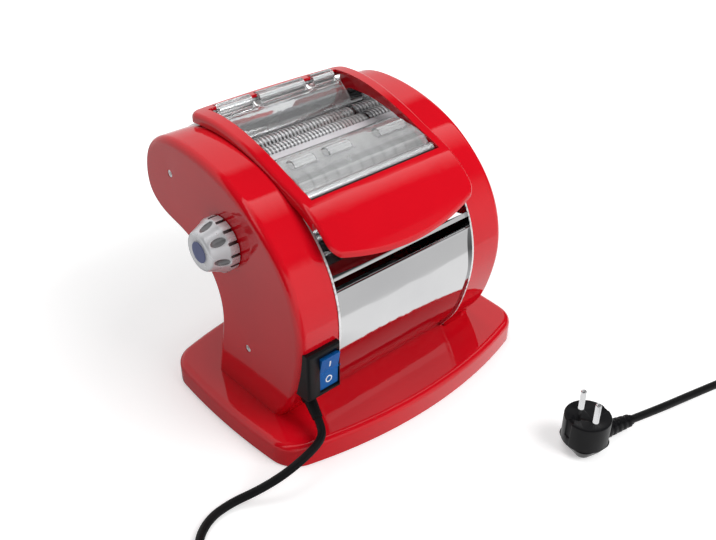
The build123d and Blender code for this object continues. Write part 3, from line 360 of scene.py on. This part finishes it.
# --- mesh helpers --------------------------------------------------------
def piece_from(bm, name, slot, body, material=None):
    """Turns a bmesh into a piece that rides on a body, with its place in its mesh."""
    mesh = bpy.data.meshes.new(name)
    bm.to_mesh(mesh)
    bm.free()
    obj = bpy.data.objects.new(name, mesh)
    bpy.context.scene.collection.objects.link(obj)
    mesh.materials.append(FINISHES[material or slot])
    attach(obj, body)
    return obj


def body_of_node(node):
    return next(name for name, members in frame["record"]["behaviour"]["bodies"].items() if node in members)


def crisp(obj, angle=None):
    """Smooth shading, kept crisp at sharp edges, with flat faces held flat."""
    obj.data.set_sharp_from_angle(angle=angle or finish().seam)
    for face in obj.data.polygons:
        face.use_smooth = True
    weighted = obj.modifiers.new("Even faces", "WEIGHTED_NORMAL")
    weighted.keep_sharp = True
    weighted.weight = 90
    return obj


def dressed(node, name, angle=None, edge=0.0, material=None):
    """A merged, smoothly shaded copy that stands for a CAD node, its edges rounded by edge millimetres."""
    bm = bmesh.new()
    bm.from_mesh(frame["nodes"][node].data)
    bmesh.ops.remove_doubles(bm, verts=bm.verts, dist=CAD_WELD)
    bmesh.ops.dissolve_degenerate(bm, dist=WELD, edges=bm.edges)
    if edge:
        bmesh.ops.dissolve_limit(bm, angle_limit=math.radians(FLAT_ANGLE), verts=bm.verts, edges=bm.edges)
        turn = math.radians(EDGE_ANGLE)
        sharp = [e for e in bm.edges if len(e.link_faces) == 2 and e.calc_face_angle() > turn]
        bmesh.ops.bevel(bm, geom=sharp, offset=edge * MM, offset_type="OFFSET", segments=2, profile=0.5,
                        affect="EDGES", clamp_overlap=True, material=-1)
    obj = piece_from(bm, name, SLOT_OF[node], body_of_node(node), material)
    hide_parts(node)
    return crisp(obj, angle)


def second_finish(obj, finish_name, chosen):
    """Another finish on the faces that the test picks, by face."""
    obj.data.materials.append(FINISHES[finish_name])
    for face in obj.data.polygons:
        if chosen(face):
            face.material_index = 1


def away(point, axis):
    """Distance of a point from an axis along X, in millimetres."""
    return (Vector(point.yz) / MM - Vector(axis)).length


def paint_nodes(*nodes):
    """CAD nodes whose own mesh stays, with the finish of their slot."""
    for node in nodes:
        mesh = frame["nodes"][node].data
        mesh.materials.clear()
        mesh.materials.append(FINISHES[SLOT_OF[node]])


def spun_x(profile, centre, steps, name, slot, body, material=None):
    """A turned piece round the X axis through centre = (y, z), from (x, r) points."""
    bm = bmesh.new()
    made = [bm.verts.new((x * MM, (centre[0] + r) * MM, centre[1] * MM)) for x, r in profile]
    edges = [bm.edges.new(pair) for pair in zip(made, made[1:])]
    bmesh.ops.spin(bm, geom=made + edges, cent=(0, centre[0] * MM, centre[1] * MM), axis=(1, 0, 0),
                   angle=math.tau, steps=steps, use_merge=True, use_duplicate=False)
    bmesh.ops.remove_doubles(bm, verts=bm.verts, dist=WELD)
    bmesh.ops.recalc_face_normals(bm, faces=bm.faces)
    return piece_from(bm, name, slot, body, material)


# --- cord ----------------------------------------------------------------
def coil_points():
    """Three turns and a bit: low outside, low inside, high inside, then high outside and away."""
    points = []
    for step in range(COIL_STEPS):
        along = step * COIL_STEP
        turn, part = divmod(along, 360.0)
        ramp = max(0.0, (part + COIL_RAMP - 360.0) / COIL_RAMP)
        aside = (COIL_OUT - COIL_IN) * ramp
        up = (COIL_HIGH - COIL_LOW) * ramp
        reach, rise = {0: (COIL_OUT - aside, COIL_LOW), 1: (COIL_IN, COIL_LOW + up),
                       2: (COIL_IN + aside, COIL_HIGH), 3: (COIL_OUT, COIL_HIGH)}[int(turn)]
        way = math.radians(COIL_START + along)
        reach *= COIL_SPREAD
        points.append((COIL_MID[0] + reach * math.cos(way), COIL_MID[1] + reach * math.sin(way), rise))
    return points


class PASTAMAKER_OT_lead(bpy.types.Operator):
    """Mains lead with its tied coil, plug and strain relief"""
    bl_idname = "pasta_maker.lead"
    bl_label = "Mains lead and plug"

    def execute(self, context):
        route = [CORD_EXIT] + ROUTE_OUT + coil_points() + ROUTE_BACK
        curve = bpy.data.curves.new("mains_lead", "CURVE")
        curve.dimensions = "3D"
        line = curve.splines.new("NURBS")
        line.points.add(len(route) - 1)
        for point, place in zip(line.points, route):
            point.co = (place[0] * MM, place[1] * MM, place[2] * MM, 1.0)
        # The order holds only when it is set after the points
        line.order_u = 3
        line.use_endpoint_u = True
        line.resolution_u = 6
        curve.bevel_depth = sizes().cord / 2
        curve.bevel_resolution = 5
        curve.use_fill_caps = True
        lead = bpy.data.objects.new("mains_lead", curve)
        context.scene.collection.objects.link(lead)
        curve.materials.append(FINISHES["black_rubber"])
        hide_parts("cord_out", "cord_coil", "cord_back")
        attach(lead, "housing")
        plug = dressed("plug_body", "plug_moulding", angle=math.radians(30))
        pins = dressed("plug_pins", "plug_contacts")
        # The lead and its plug don't show in the bright panels
        for piece in (lead, plug, pins):
            piece.visible_glossy = False
        dressed("cord_gland", "strain_relief")
        tie = coil_tie()
        return {"FINISHED"}


def coil_tie():
    """A flat rubber band round the coil's turns."""
    bm = bmesh.new()
    bmesh.ops.create_grid(bm, x_segments=1, y_segments=1, size=1.0)
    bmesh.ops.delete(bm, geom=bm.faces[:], context="FACES_ONLY")
    bmesh.ops.scale(bm, verts=bm.verts, vec=(TIE_HALF[0] * MM, TIE_HALF[1] * MM, 1))
    bmesh.ops.bevel(bm, geom=bm.verts[:], offset=TIE_ROUND * MM, offset_type="OFFSET", segments=4,
                    profile=0.5, affect="VERTICES", clamp_overlap=True, material=-1)
    made = bmesh.ops.extrude_edge_only(bm, edges=bm.edges)["geom"]
    verts = [v for v in made if isinstance(v, bmesh.types.BMVert)]
    bmesh.ops.translate(bm, verts=verts, vec=(0, 0, TIE_WIDE * MM))
    bmesh.ops.recalc_face_normals(bm, faces=bm.faces)
    bmesh.ops.solidify(bm, geom=bm.faces[:], thickness=-TIE_THICK * MM)
    way = math.radians(TIE_AT)
    reach = (COIL_IN + COIL_OUT) / 2
    middle = Vector((COIL_MID[0] + reach * math.cos(way), COIL_MID[1] + reach * math.sin(way), TIE_HEIGHT))
    across = Matrix(((math.cos(way), 0, -math.sin(way)), (math.sin(way), 0, math.cos(way)), (0, 1, 0)))
    bmesh.ops.transform(bm, verts=bm.verts, matrix=Matrix.Translation(middle * MM) @ across.to_4x4())
    bmesh.ops.recalc_face_normals(bm, faces=bm.faces)
    return piece_from(bm, "lead_tie", "black_rubber", "housing")


# --- body ----------------------------------------------------------------
class PASTAMAKER_OT_body(bpy.types.Operator):
    """Lacquered covers, top frame and base, with the feet and screws"""
    bl_idname = "pasta_maker.body"
    bl_label = "Covers, frame and base"

    def execute(self, context):
        dressed("cover_left", "left_cover_paint")
        dressed("cover_right", "right_cover_paint")
        dressed("top_frame", "top_frame_paint", angle=math.radians(38), edge=0.3)
        dressed("base_tray", "base_paint")
        for number in range(1, 5):
            dressed(f"rubber_foot_{number}", f"foot_pad_{number}")
        dressed("cover_screws_left", "left_screws", material="screw_zinc")
        dressed("cover_screws_right", "right_screws", material="screw_zinc")
        return {"FINISHED"}


class PASTAMAKER_OT_brightwork(bpy.types.Operator):
    """Chrome side plates, panels, strips and deflectors"""
    bl_idname = "pasta_maker.brightwork"
    bl_label = "Chrome plates and panels"

    def execute(self, context):
        for node in ("front_panel", "back_panel", "head_panel", "front_strip", "deflector_front",
                     "deflector_back", "sheet_chute"):
            dressed(node, f"{node}_chrome")
        for node in ("side_plate_left", "side_plate_right"):
            plate = dressed(node, f"{node}_chrome")
            # The plates' edges get a whitish finish as a painted highlight
            second_finish(plate, "rim_painted_highlight", lambda face: abs(face.normal.x) < 0.5)
        dressed("guide_bar", "guide_bar_satin", angle=math.radians(25))
        return {"FINISHED"}


class PASTAMAKER_OT_rollers(bpy.types.Operator):
    """Rollers, cutters with their rings, scrapers and tie rods"""
    bl_idname = "pasta_maker.rollers"
    bl_label = "Rollers and cutters"

    def execute(self, context):
        for node in ("roller_front", "roller_back", "cutter_fine_front", "cutter_fine_back", "scraper_wide",
                     "scraper_fine", "tie_rod_1", "tie_rod_2", "tie_rod_3", "carrier_left", "carrier_right"):
            dressed(node, f"{node}_steel")
        for node in ("cutter_wide_front", "cutter_wide_back"):
            dressed(node, f"{node}_steel", angle=math.radians(20), material="wide_steel")
        fine_rings("fine_rings_front", FINE_FRONT, 0.0, "fine_cutter_front")
        fine_rings("fine_rings_back", FINE_BACK, 0.5, "fine_cutter_back")
        return {"FINISHED"}


def fine_rings(name, centre, phase, body):
    """Rings of a fine cutter, as one turned comb of square teeth, moved along by a phase of their pitch;
    grooves get painted shade.
    """
    pitch = sizes().pitch / MM
    ring = pitch / 2 - RING_LESS
    profile = [(RINGS_X[0], RING_FOOT)]
    x = RINGS_X[0] + RING_START + phase * pitch
    while x + ring < RINGS_X[1]:
        profile += [(x, RING_FOOT), (x, RING_TOP), (x + ring, RING_TOP), (x + ring, RING_FOOT)]
        x += pitch
    profile.append((RINGS_X[1], RING_FOOT))
    # The teeth get pale, partly diffuse steel as a painted highlight
    comb = spun_x(profile, centre, steps=40, name=name, slot="steel", body=body, material="ring_steel_painted_highlight")
    # The grooves get near-black steel as painted shade
    second_finish(comb, "groove_painted_shade", lambda face: away(face.center, centre) < RING_FOOT + GROOVE_REACH)
    return crisp(comb)


class PASTAMAKER_OT_drive(bpy.types.Operator):
    """Motor, gears, pins and bridge behind the left cover"""
    bl_idname = "pasta_maker.drive"
    bl_label = "Motor and gears"

    def execute(self, context):
        paint_nodes("motor", "gearbox", "motor_pinion", "gear_bridge", "gear_wheel", "idler_cut",
                    "idler_fine", "idler_main", "pin_gear_wheel", "pin_idler_cut", "pin_idler_fine",
                    "pin_idler_main")
        return {"FINISHED"}


class PASTAMAKER_OT_guards(bpy.types.Operator):
    """Clear hinged guards and their rods"""
    bl_idname = "pasta_maker.guards"
    bl_label = "Clear guards"

    def execute(self, context):
        dressed("guard_back", "rear_guard_clear")
        dressed("guard_front", "front_guard_clear", material="hazy_plastic")
        dressed("hinge_rod_back", "rear_rod_steel", material="rod_steel")
        dressed("hinge_rod_front", "front_rod_steel", material="rod_steel")
        return {"FINISHED"}


class PASTAMAKER_OT_controls(bpy.types.Operator):
    """Thickness knob, its cap, and the rocker switch with its marks"""
    bl_idname = "pasta_maker.controls"
    bl_label = "Knob and switch"

    def execute(self, context):
        grip = dressed("knob", "knob_silver", angle=math.radians(28))
        # The knob's scoops and notches are painted darker as shade
        second_finish(grip, "knob_painted_shade", in_knob_shaded_recess)
        dressed("knob_cap", "knob_cap_blue", edge=0.5, material="cap_blue")
        dressed("switch_housing", "switch_frame")
        dressed("switch_rocker", "rocker_blue", edge=0.4)
        rocker_marks()
        return {"FINISHED"}


def in_knob_shaded_recess(face):
    """True in the scoops of the knob's cone and in the notches of its skirt, the faces that get painted
    shade.
    """
    x = face.center.x / MM
    (tip, tip_r), (wide, wide_r) = KNOB_CONE
    surface = tip_r + (x - tip) * (wide_r - tip_r) / (wide - tip) if x < KNOB_SKIRT[0] else KNOB_SKIRT_R
    return tip < x < KNOB_SKIRT[1] and away(face.center, KNOB_AXIS) < surface - RECESS_DEPTH


def on_rocker(half):
    """Placement on the rocker's upper (+1) or lower (-1) half, face outward along -Y."""
    place = Matrix.Translation(Vector(ROCKER_PIVOT) * MM)
    lean = Matrix.Rotation(math.radians(ROCKER_TILT), 4, "X")
    slope = Matrix.Rotation(math.radians(MARK_SLOPE * half), 4, "X")
    return place @ lean @ Matrix.Translation(Vector((0, MARK_OUT, MARK_UP * half)) * MM) @ slope


def rocker_marks():
    """Printed bar and ring on the rocker."""
    bar = bmesh.new()
    bmesh.ops.create_cube(bar, size=MM)
    bmesh.ops.scale(bar, verts=bar.verts, vec=(MARK_BAR[0], MARK_THICK, MARK_BAR[1]))
    bmesh.ops.transform(bar, verts=bar.verts, matrix=on_rocker(1))
    piece_from(bar, "rocker_mark_on", "blue_plastic", "power_rocker", material="mark")
    ring = bmesh.new()
    (hole, rim), half = MARK_RING, MARK_THICK / 2
    corners = ((hole, -half), (rim, -half), (rim, half), (hole, half))
    start = [ring.verts.new((r * MM, y * MM, 0)) for r, y in corners]
    edges = [ring.edges.new((start[i], start[(i + 1) % 4])) for i in range(4)]
    bmesh.ops.spin(ring, geom=start + edges, cent=(0, 0, 0), axis=(0, 1, 0), angle=math.tau, steps=40,
                   use_merge=True, use_duplicate=False)
    bmesh.ops.remove_doubles(ring, verts=ring.verts, dist=WELD)
    bmesh.ops.recalc_face_normals(ring, faces=ring.faces)
    bmesh.ops.transform(ring, verts=ring.verts, matrix=on_rocker(-1))
    piece_from(ring, "rocker_mark_off", "blue_plastic", "power_rocker", material="mark")


# --- stage ---------------------------------------------------------------
TARGET = Vector((0.04239, 0.02456, 0.05877))
CAMERA_TURN, CAMERA_RISE, CAMERA_REACH = math.radians(-42.17), math.radians(32.90), 0.87035

# Name, place, aim and size of each lamp in metres, and its power in watts
LAMPS = (
    ("key_lamp", (0.35, -1.1, 1.1), (0, 0, 0.1), (0.9, 0.8), 15),
    ("top_lamp", (0.0, 0.35, 1.4), (0, 0, 0.15), (1.0, 0.8), 6),
)

# Strengths of the surroundings, as stops along a direction's height (Z) or depth (Y)
PLAIN_BY_HEIGHT = ((-1.0, 0.16), (0.0, 0.18), (0.8, 0.4))
BACKDROP_BY_DEPTH = ((0.33, 0.0), (0.41, 0.8))
BOX_BY_DEPTH = ((-0.30, 0.0), (-0.10, 1.35), (-0.03, 1.75), (0.0, 0.0))
BOX_BY_HEIGHT = ((0.45, 0.0), (0.6, 1.0))
FRONT_BY_DEPTH = ((-0.75, 0.75), (-0.5, 0.0))
FRONT_BY_HEIGHT = ((0.40, 1.0), (0.52, 0.0))
ROOM_GLOW = 0.04

# The floor's half width in metres and its tone. It glows for the eye by distance from the middle, and in
# reflections by place, with a painted shadow next to the object's left side
FLOOR_HALF, FLOOR_TONE = 4.0, 0.8
OPEN_BY_REACH = ((0.22, 0.38), (0.75, 0.85))
GLOSS_BY_Y = ((-0.296, 0.73), (-0.288, 1.03))
# Its dip near the object's left side is a painted shadow in reflections
GLOSS_WITH_SHADOW_BY_X = ((-0.45, 0.9), (-0.28, 0.7), (-0.18, 0.38), (-0.15, 0.22), (-0.12, 0.3), (0.02, 1.0))


def soft_lamp(name, place, aim, size, power):
    """A rectangular white lamp that reflections don't show."""
    lamp = bpy.data.lights.new(name, "AREA")
    lamp.shape = "RECTANGLE"
    lamp.size, lamp.size_y = size
    lamp.energy = power
    obj = bpy.data.objects.new(name, lamp)
    obj.visible_glossy = False
    obj.location = place
    obj.rotation_euler = (Vector(aim) - Vector(place)).to_track_quat("-Z", "Y").to_euler()
    bpy.context.scene.collection.objects.link(obj)


def worked(tree, operation, first, second, place):
    """A sum, product or other result of two sockets or numbers."""
    node = add_node(tree, "ShaderNodeMath", place, operation=operation)
    feed(tree, first, node.inputs[0])
    feed(tree, second, node.inputs[1])
    return node.outputs["Value"]


def product(tree, first, second, place):
    return worked(tree, "MULTIPLY", first, second, place)


def added(tree, first, second, place):
    return worked(tree, "ADD", first, second, place)


def blended(tree, share, first, second, place):
    """The first value where the share is 0, and the second where it is 1."""
    node = add_node(tree, "ShaderNodeMix", place, data_type="FLOAT")
    for label, value in (("Factor", share), ("A", first), ("B", second)):
        feed(tree, value, node.inputs[label])
    return node.outputs["Result"]


def graded(tree, value, stops, place):
    """A strength that runs through (value, strength) stops, for values from -1 to 1."""
    curve = add_node(tree, "ShaderNodeFloatCurve", place)
    low, high = -1.0, 1.0
    top = max(strength for where, strength in stops)
    shift = add_node(tree, "ShaderNodeMapRange", (place[0] - 150, place[1]))
    shift.inputs["From Min"].default_value = low
    shift.inputs["From Max"].default_value = high
    tree.links.new(value, shift.inputs["Value"])
    tree.links.new(shift.outputs["Result"], curve.inputs["Value"])
    line = curve.mapping.curves[0]
    line.points[0].location = (0.0, stops[0][1] / top)
    line.points[1].location = (1.0, stops[-1][1] / top)
    for where, strength in stops:
        point = line.points.new((where - low) / (high - low), strength / top)
        point.handle_type = "VECTOR"
    curve.mapping.update()
    return product(tree, curve.outputs["Value"], top, (place[0] + 200, place[1]))


def seen_by(tree, kinds, place):
    """1 where a ray is one of the given Light Path kinds."""
    path = add_node(tree, "ShaderNodeLightPath", place)
    total = path.outputs[kinds[0]]
    for kind in kinds[1:]:
        total = worked(tree, "MAXIMUM", total, path.outputs[kind], (place[0] + 200, place[1]))
    return total


class PASTAMAKER_OT_stage(bpy.types.Operator):
    """Camera, lamps, pale floor and white surroundings"""
    bl_idname = "pasta_maker.stage"
    bl_label = "Stage"

    def execute(self, context):
        scene = context.scene
        scene.view_settings.view_transform = "Standard"
        camera = bpy.data.objects.new("camera", bpy.data.cameras.new("camera"))
        camera.data.sensor_fit = "HORIZONTAL"
        camera.data.sensor_width = 36.0
        camera.data.lens = sizes().lens
        camera.data.clip_start = 0.05
        back = Vector((math.sin(CAMERA_TURN) * math.cos(CAMERA_RISE),
                       -math.cos(CAMERA_TURN) * math.cos(CAMERA_RISE), math.sin(CAMERA_RISE)))
        camera.location = TARGET + CAMERA_REACH * back
        camera.rotation_euler = back.to_track_quat("Z", "Y").to_euler()
        scene.collection.objects.link(camera)
        scene.camera = camera
        for lamp in LAMPS:
            soft_lamp(*lamp)
        self.surroundings(scene)
        self.floor(scene)
        return {"FINISHED"}

    def surroundings(self, scene):
        """White to the camera, plain light for surfaces, and a backdrop and soft boxes for gloss."""
        world = bpy.data.worlds.new("Surroundings")
        scene.world = world
        world.use_nodes = True
        tree = world.node_tree
        tree.nodes.clear()
        direction = add_node(tree, "ShaderNodeTexCoord", (-1100, 0))
        split = add_node(tree, "ShaderNodeSeparateXYZ", (-900, 0))
        tree.links.new(direction.outputs["Generated"], split.inputs["Vector"])
        depth, height = split.outputs["Y"], split.outputs["Z"]
        plain = graded(tree, height, PLAIN_BY_HEIGHT, (-600, 500))
        backdrop = graded(tree, depth, BACKDROP_BY_DEPTH, (-600, 250))
        box = product(tree, graded(tree, depth, BOX_BY_DEPTH, (-600, 0)),
                      graded(tree, height, BOX_BY_HEIGHT, (-600, -250)), (-250, -100))
        front = product(tree, graded(tree, depth, FRONT_BY_DEPTH, (-600, -500)),
                        graded(tree, height, FRONT_BY_HEIGHT, (-600, -750)), (-250, -600))
        studio = added(tree, added(tree, backdrop, box, (-50, 100)), front, (100, 0))
        studio = added(tree, studio, ROOM_GLOW, (250, 0))
        light = blended(tree, seen_by(tree, ["Is Glossy Ray"], (-250, 700)), plain, studio, (400, 200))
        light = blended(tree, seen_by(tree, ["Is Camera Ray", "Is Transmission Ray"], (-250, 950)),
                        light, 1.0, (600, 300))
        glow = add_node(tree, "ShaderNodeBackground", (800, 300))
        glow.inputs["Color"].default_value = (1, 1, 1, 1)
        tree.links.new(light, glow.inputs["Strength"])
        out = add_node(tree, "ShaderNodeOutputWorld", (1000, 300))
        tree.links.new(glow.outputs["Background"], out.inputs["Surface"])

    def floor(self, scene):
        """Pale floor that shows white, and keeps the object's shadow; in reflections its glow has a painted
        shadow next to the object.
        """
        bm = bmesh.new()
        bmesh.ops.create_grid(bm, x_segments=2, y_segments=2, size=FLOOR_HALF)
        mesh = bpy.data.meshes.new("floor")
        bm.to_mesh(mesh)
        bm.free()
        obj = bpy.data.objects.new("floor", mesh)
        scene.collection.objects.link(obj)
        made, tree, shader = shader_of("Pale floor", {"Roughness": 0.9, "Specular IOR Level": 0.0})
        place = add_node(tree, "ShaderNodeTexCoord", (-1100, -500))
        split = add_node(tree, "ShaderNodeSeparateXYZ", (-900, -500))
        tree.links.new(place.outputs["Object"], split.inputs["Vector"])
        along = graded(tree, split.outputs["Y"], GLOSS_BY_Y, (-600, -500))
        # Glow in reflections, dimmed next to the object as painted shadow
        glow_with_painted_shadow = graded(tree, split.outputs["X"], GLOSS_WITH_SHADOW_BY_X, (-600, -1100))
        gloss = seen_by(tree, ["Is Glossy Ray"], (-600, -800))
        reflected_glow_with_shadow = product(tree, product(tree, along, glow_with_painted_shadow, (-350, -700)), gloss, (-150, -600))
        reach = add_node(tree, "ShaderNodeVectorMath", (-900, -250), operation="LENGTH")
        tree.links.new(place.outputs["Object"], reach.inputs[0])
        open_floor = graded(tree, reach.outputs["Value"], OPEN_BY_REACH, (-600, -1400))
        lift = blended(tree, seen_by(tree, ["Is Camera Ray", "Is Transmission Ray"], (-600, -250)),
                       reflected_glow_with_shadow, open_floor, (0, -400))
        tree.links.new(blended(tree, gloss, FLOOR_TONE, 0.0, (-100, -150)), shader.inputs["Base Color"])
        glow = add_node(tree, "ShaderNodeEmission", (200, -300))
        glow.inputs["Color"].default_value = (1, 1, 1, 1)
        tree.links.new(lift, glow.inputs["Strength"])
        both = add_node(tree, "ShaderNodeAddShader", (450, 0))
        tree.links.new(shader.outputs["BSDF"], both.inputs[0])
        tree.links.new(glow.outputs["Emission"], both.inputs[1])
        tree.links.new(both.outputs["Shader"], tree.nodes["Material Output"].inputs["Surface"])
        mesh.materials.append(made)


# --- add-on --------------------------------------------------------------
STEPS = (PASTAMAKER_OT_stage, PASTAMAKER_OT_lead, PASTAMAKER_OT_body, PASTAMAKER_OT_brightwork,
         PASTAMAKER_OT_rollers, PASTAMAKER_OT_drive, PASTAMAKER_OT_guards, PASTAMAKER_OT_controls)


class PASTAMAKER_PT_sidebar(bpy.types.Panel):
    """Steps and settings of the pasta maker"""
    bl_label = "Pasta maker"
    bl_idname = "PASTAMAKER_PT_sidebar"
    bl_space_type = "VIEW_3D"
    bl_region_type = "UI"
    bl_category = "Pasta maker"

    def draw(self, context):
        for group in (finish(), sizes()):
            for key in group.bl_rna.properties.keys():
                if key not in ("rna_type", "name"):
                    self.layout.prop(group, key)
        for step in STEPS:
            self.layout.operator(step.bl_idname)


CLASSES = (PastaMakerFinish, PastaMakerSizes, PASTAMAKER_PT_sidebar) + STEPS


def register():
    for cls in CLASSES:
        bpy.utils.register_class(cls)
    bpy.types.Scene.pasta_maker_finish = bpy.props.PointerProperty(type=PastaMakerFinish)
    bpy.types.Scene.pasta_maker_sizes = bpy.props.PointerProperty(type=PastaMakerSizes)


def unregister():
    del bpy.types.Scene.pasta_maker_finish
    del bpy.types.Scene.pasta_maker_sizes
    for cls in reversed(CLASSES):
        bpy.utils.unregister_class(cls)


def main():
    register()
    FINISHES.update(make_finishes())
    for step in STEPS:
        getattr(bpy.ops.pasta_maker, step.bl_idname.split(".")[1])()


if __name__ == "__main__":
    main()
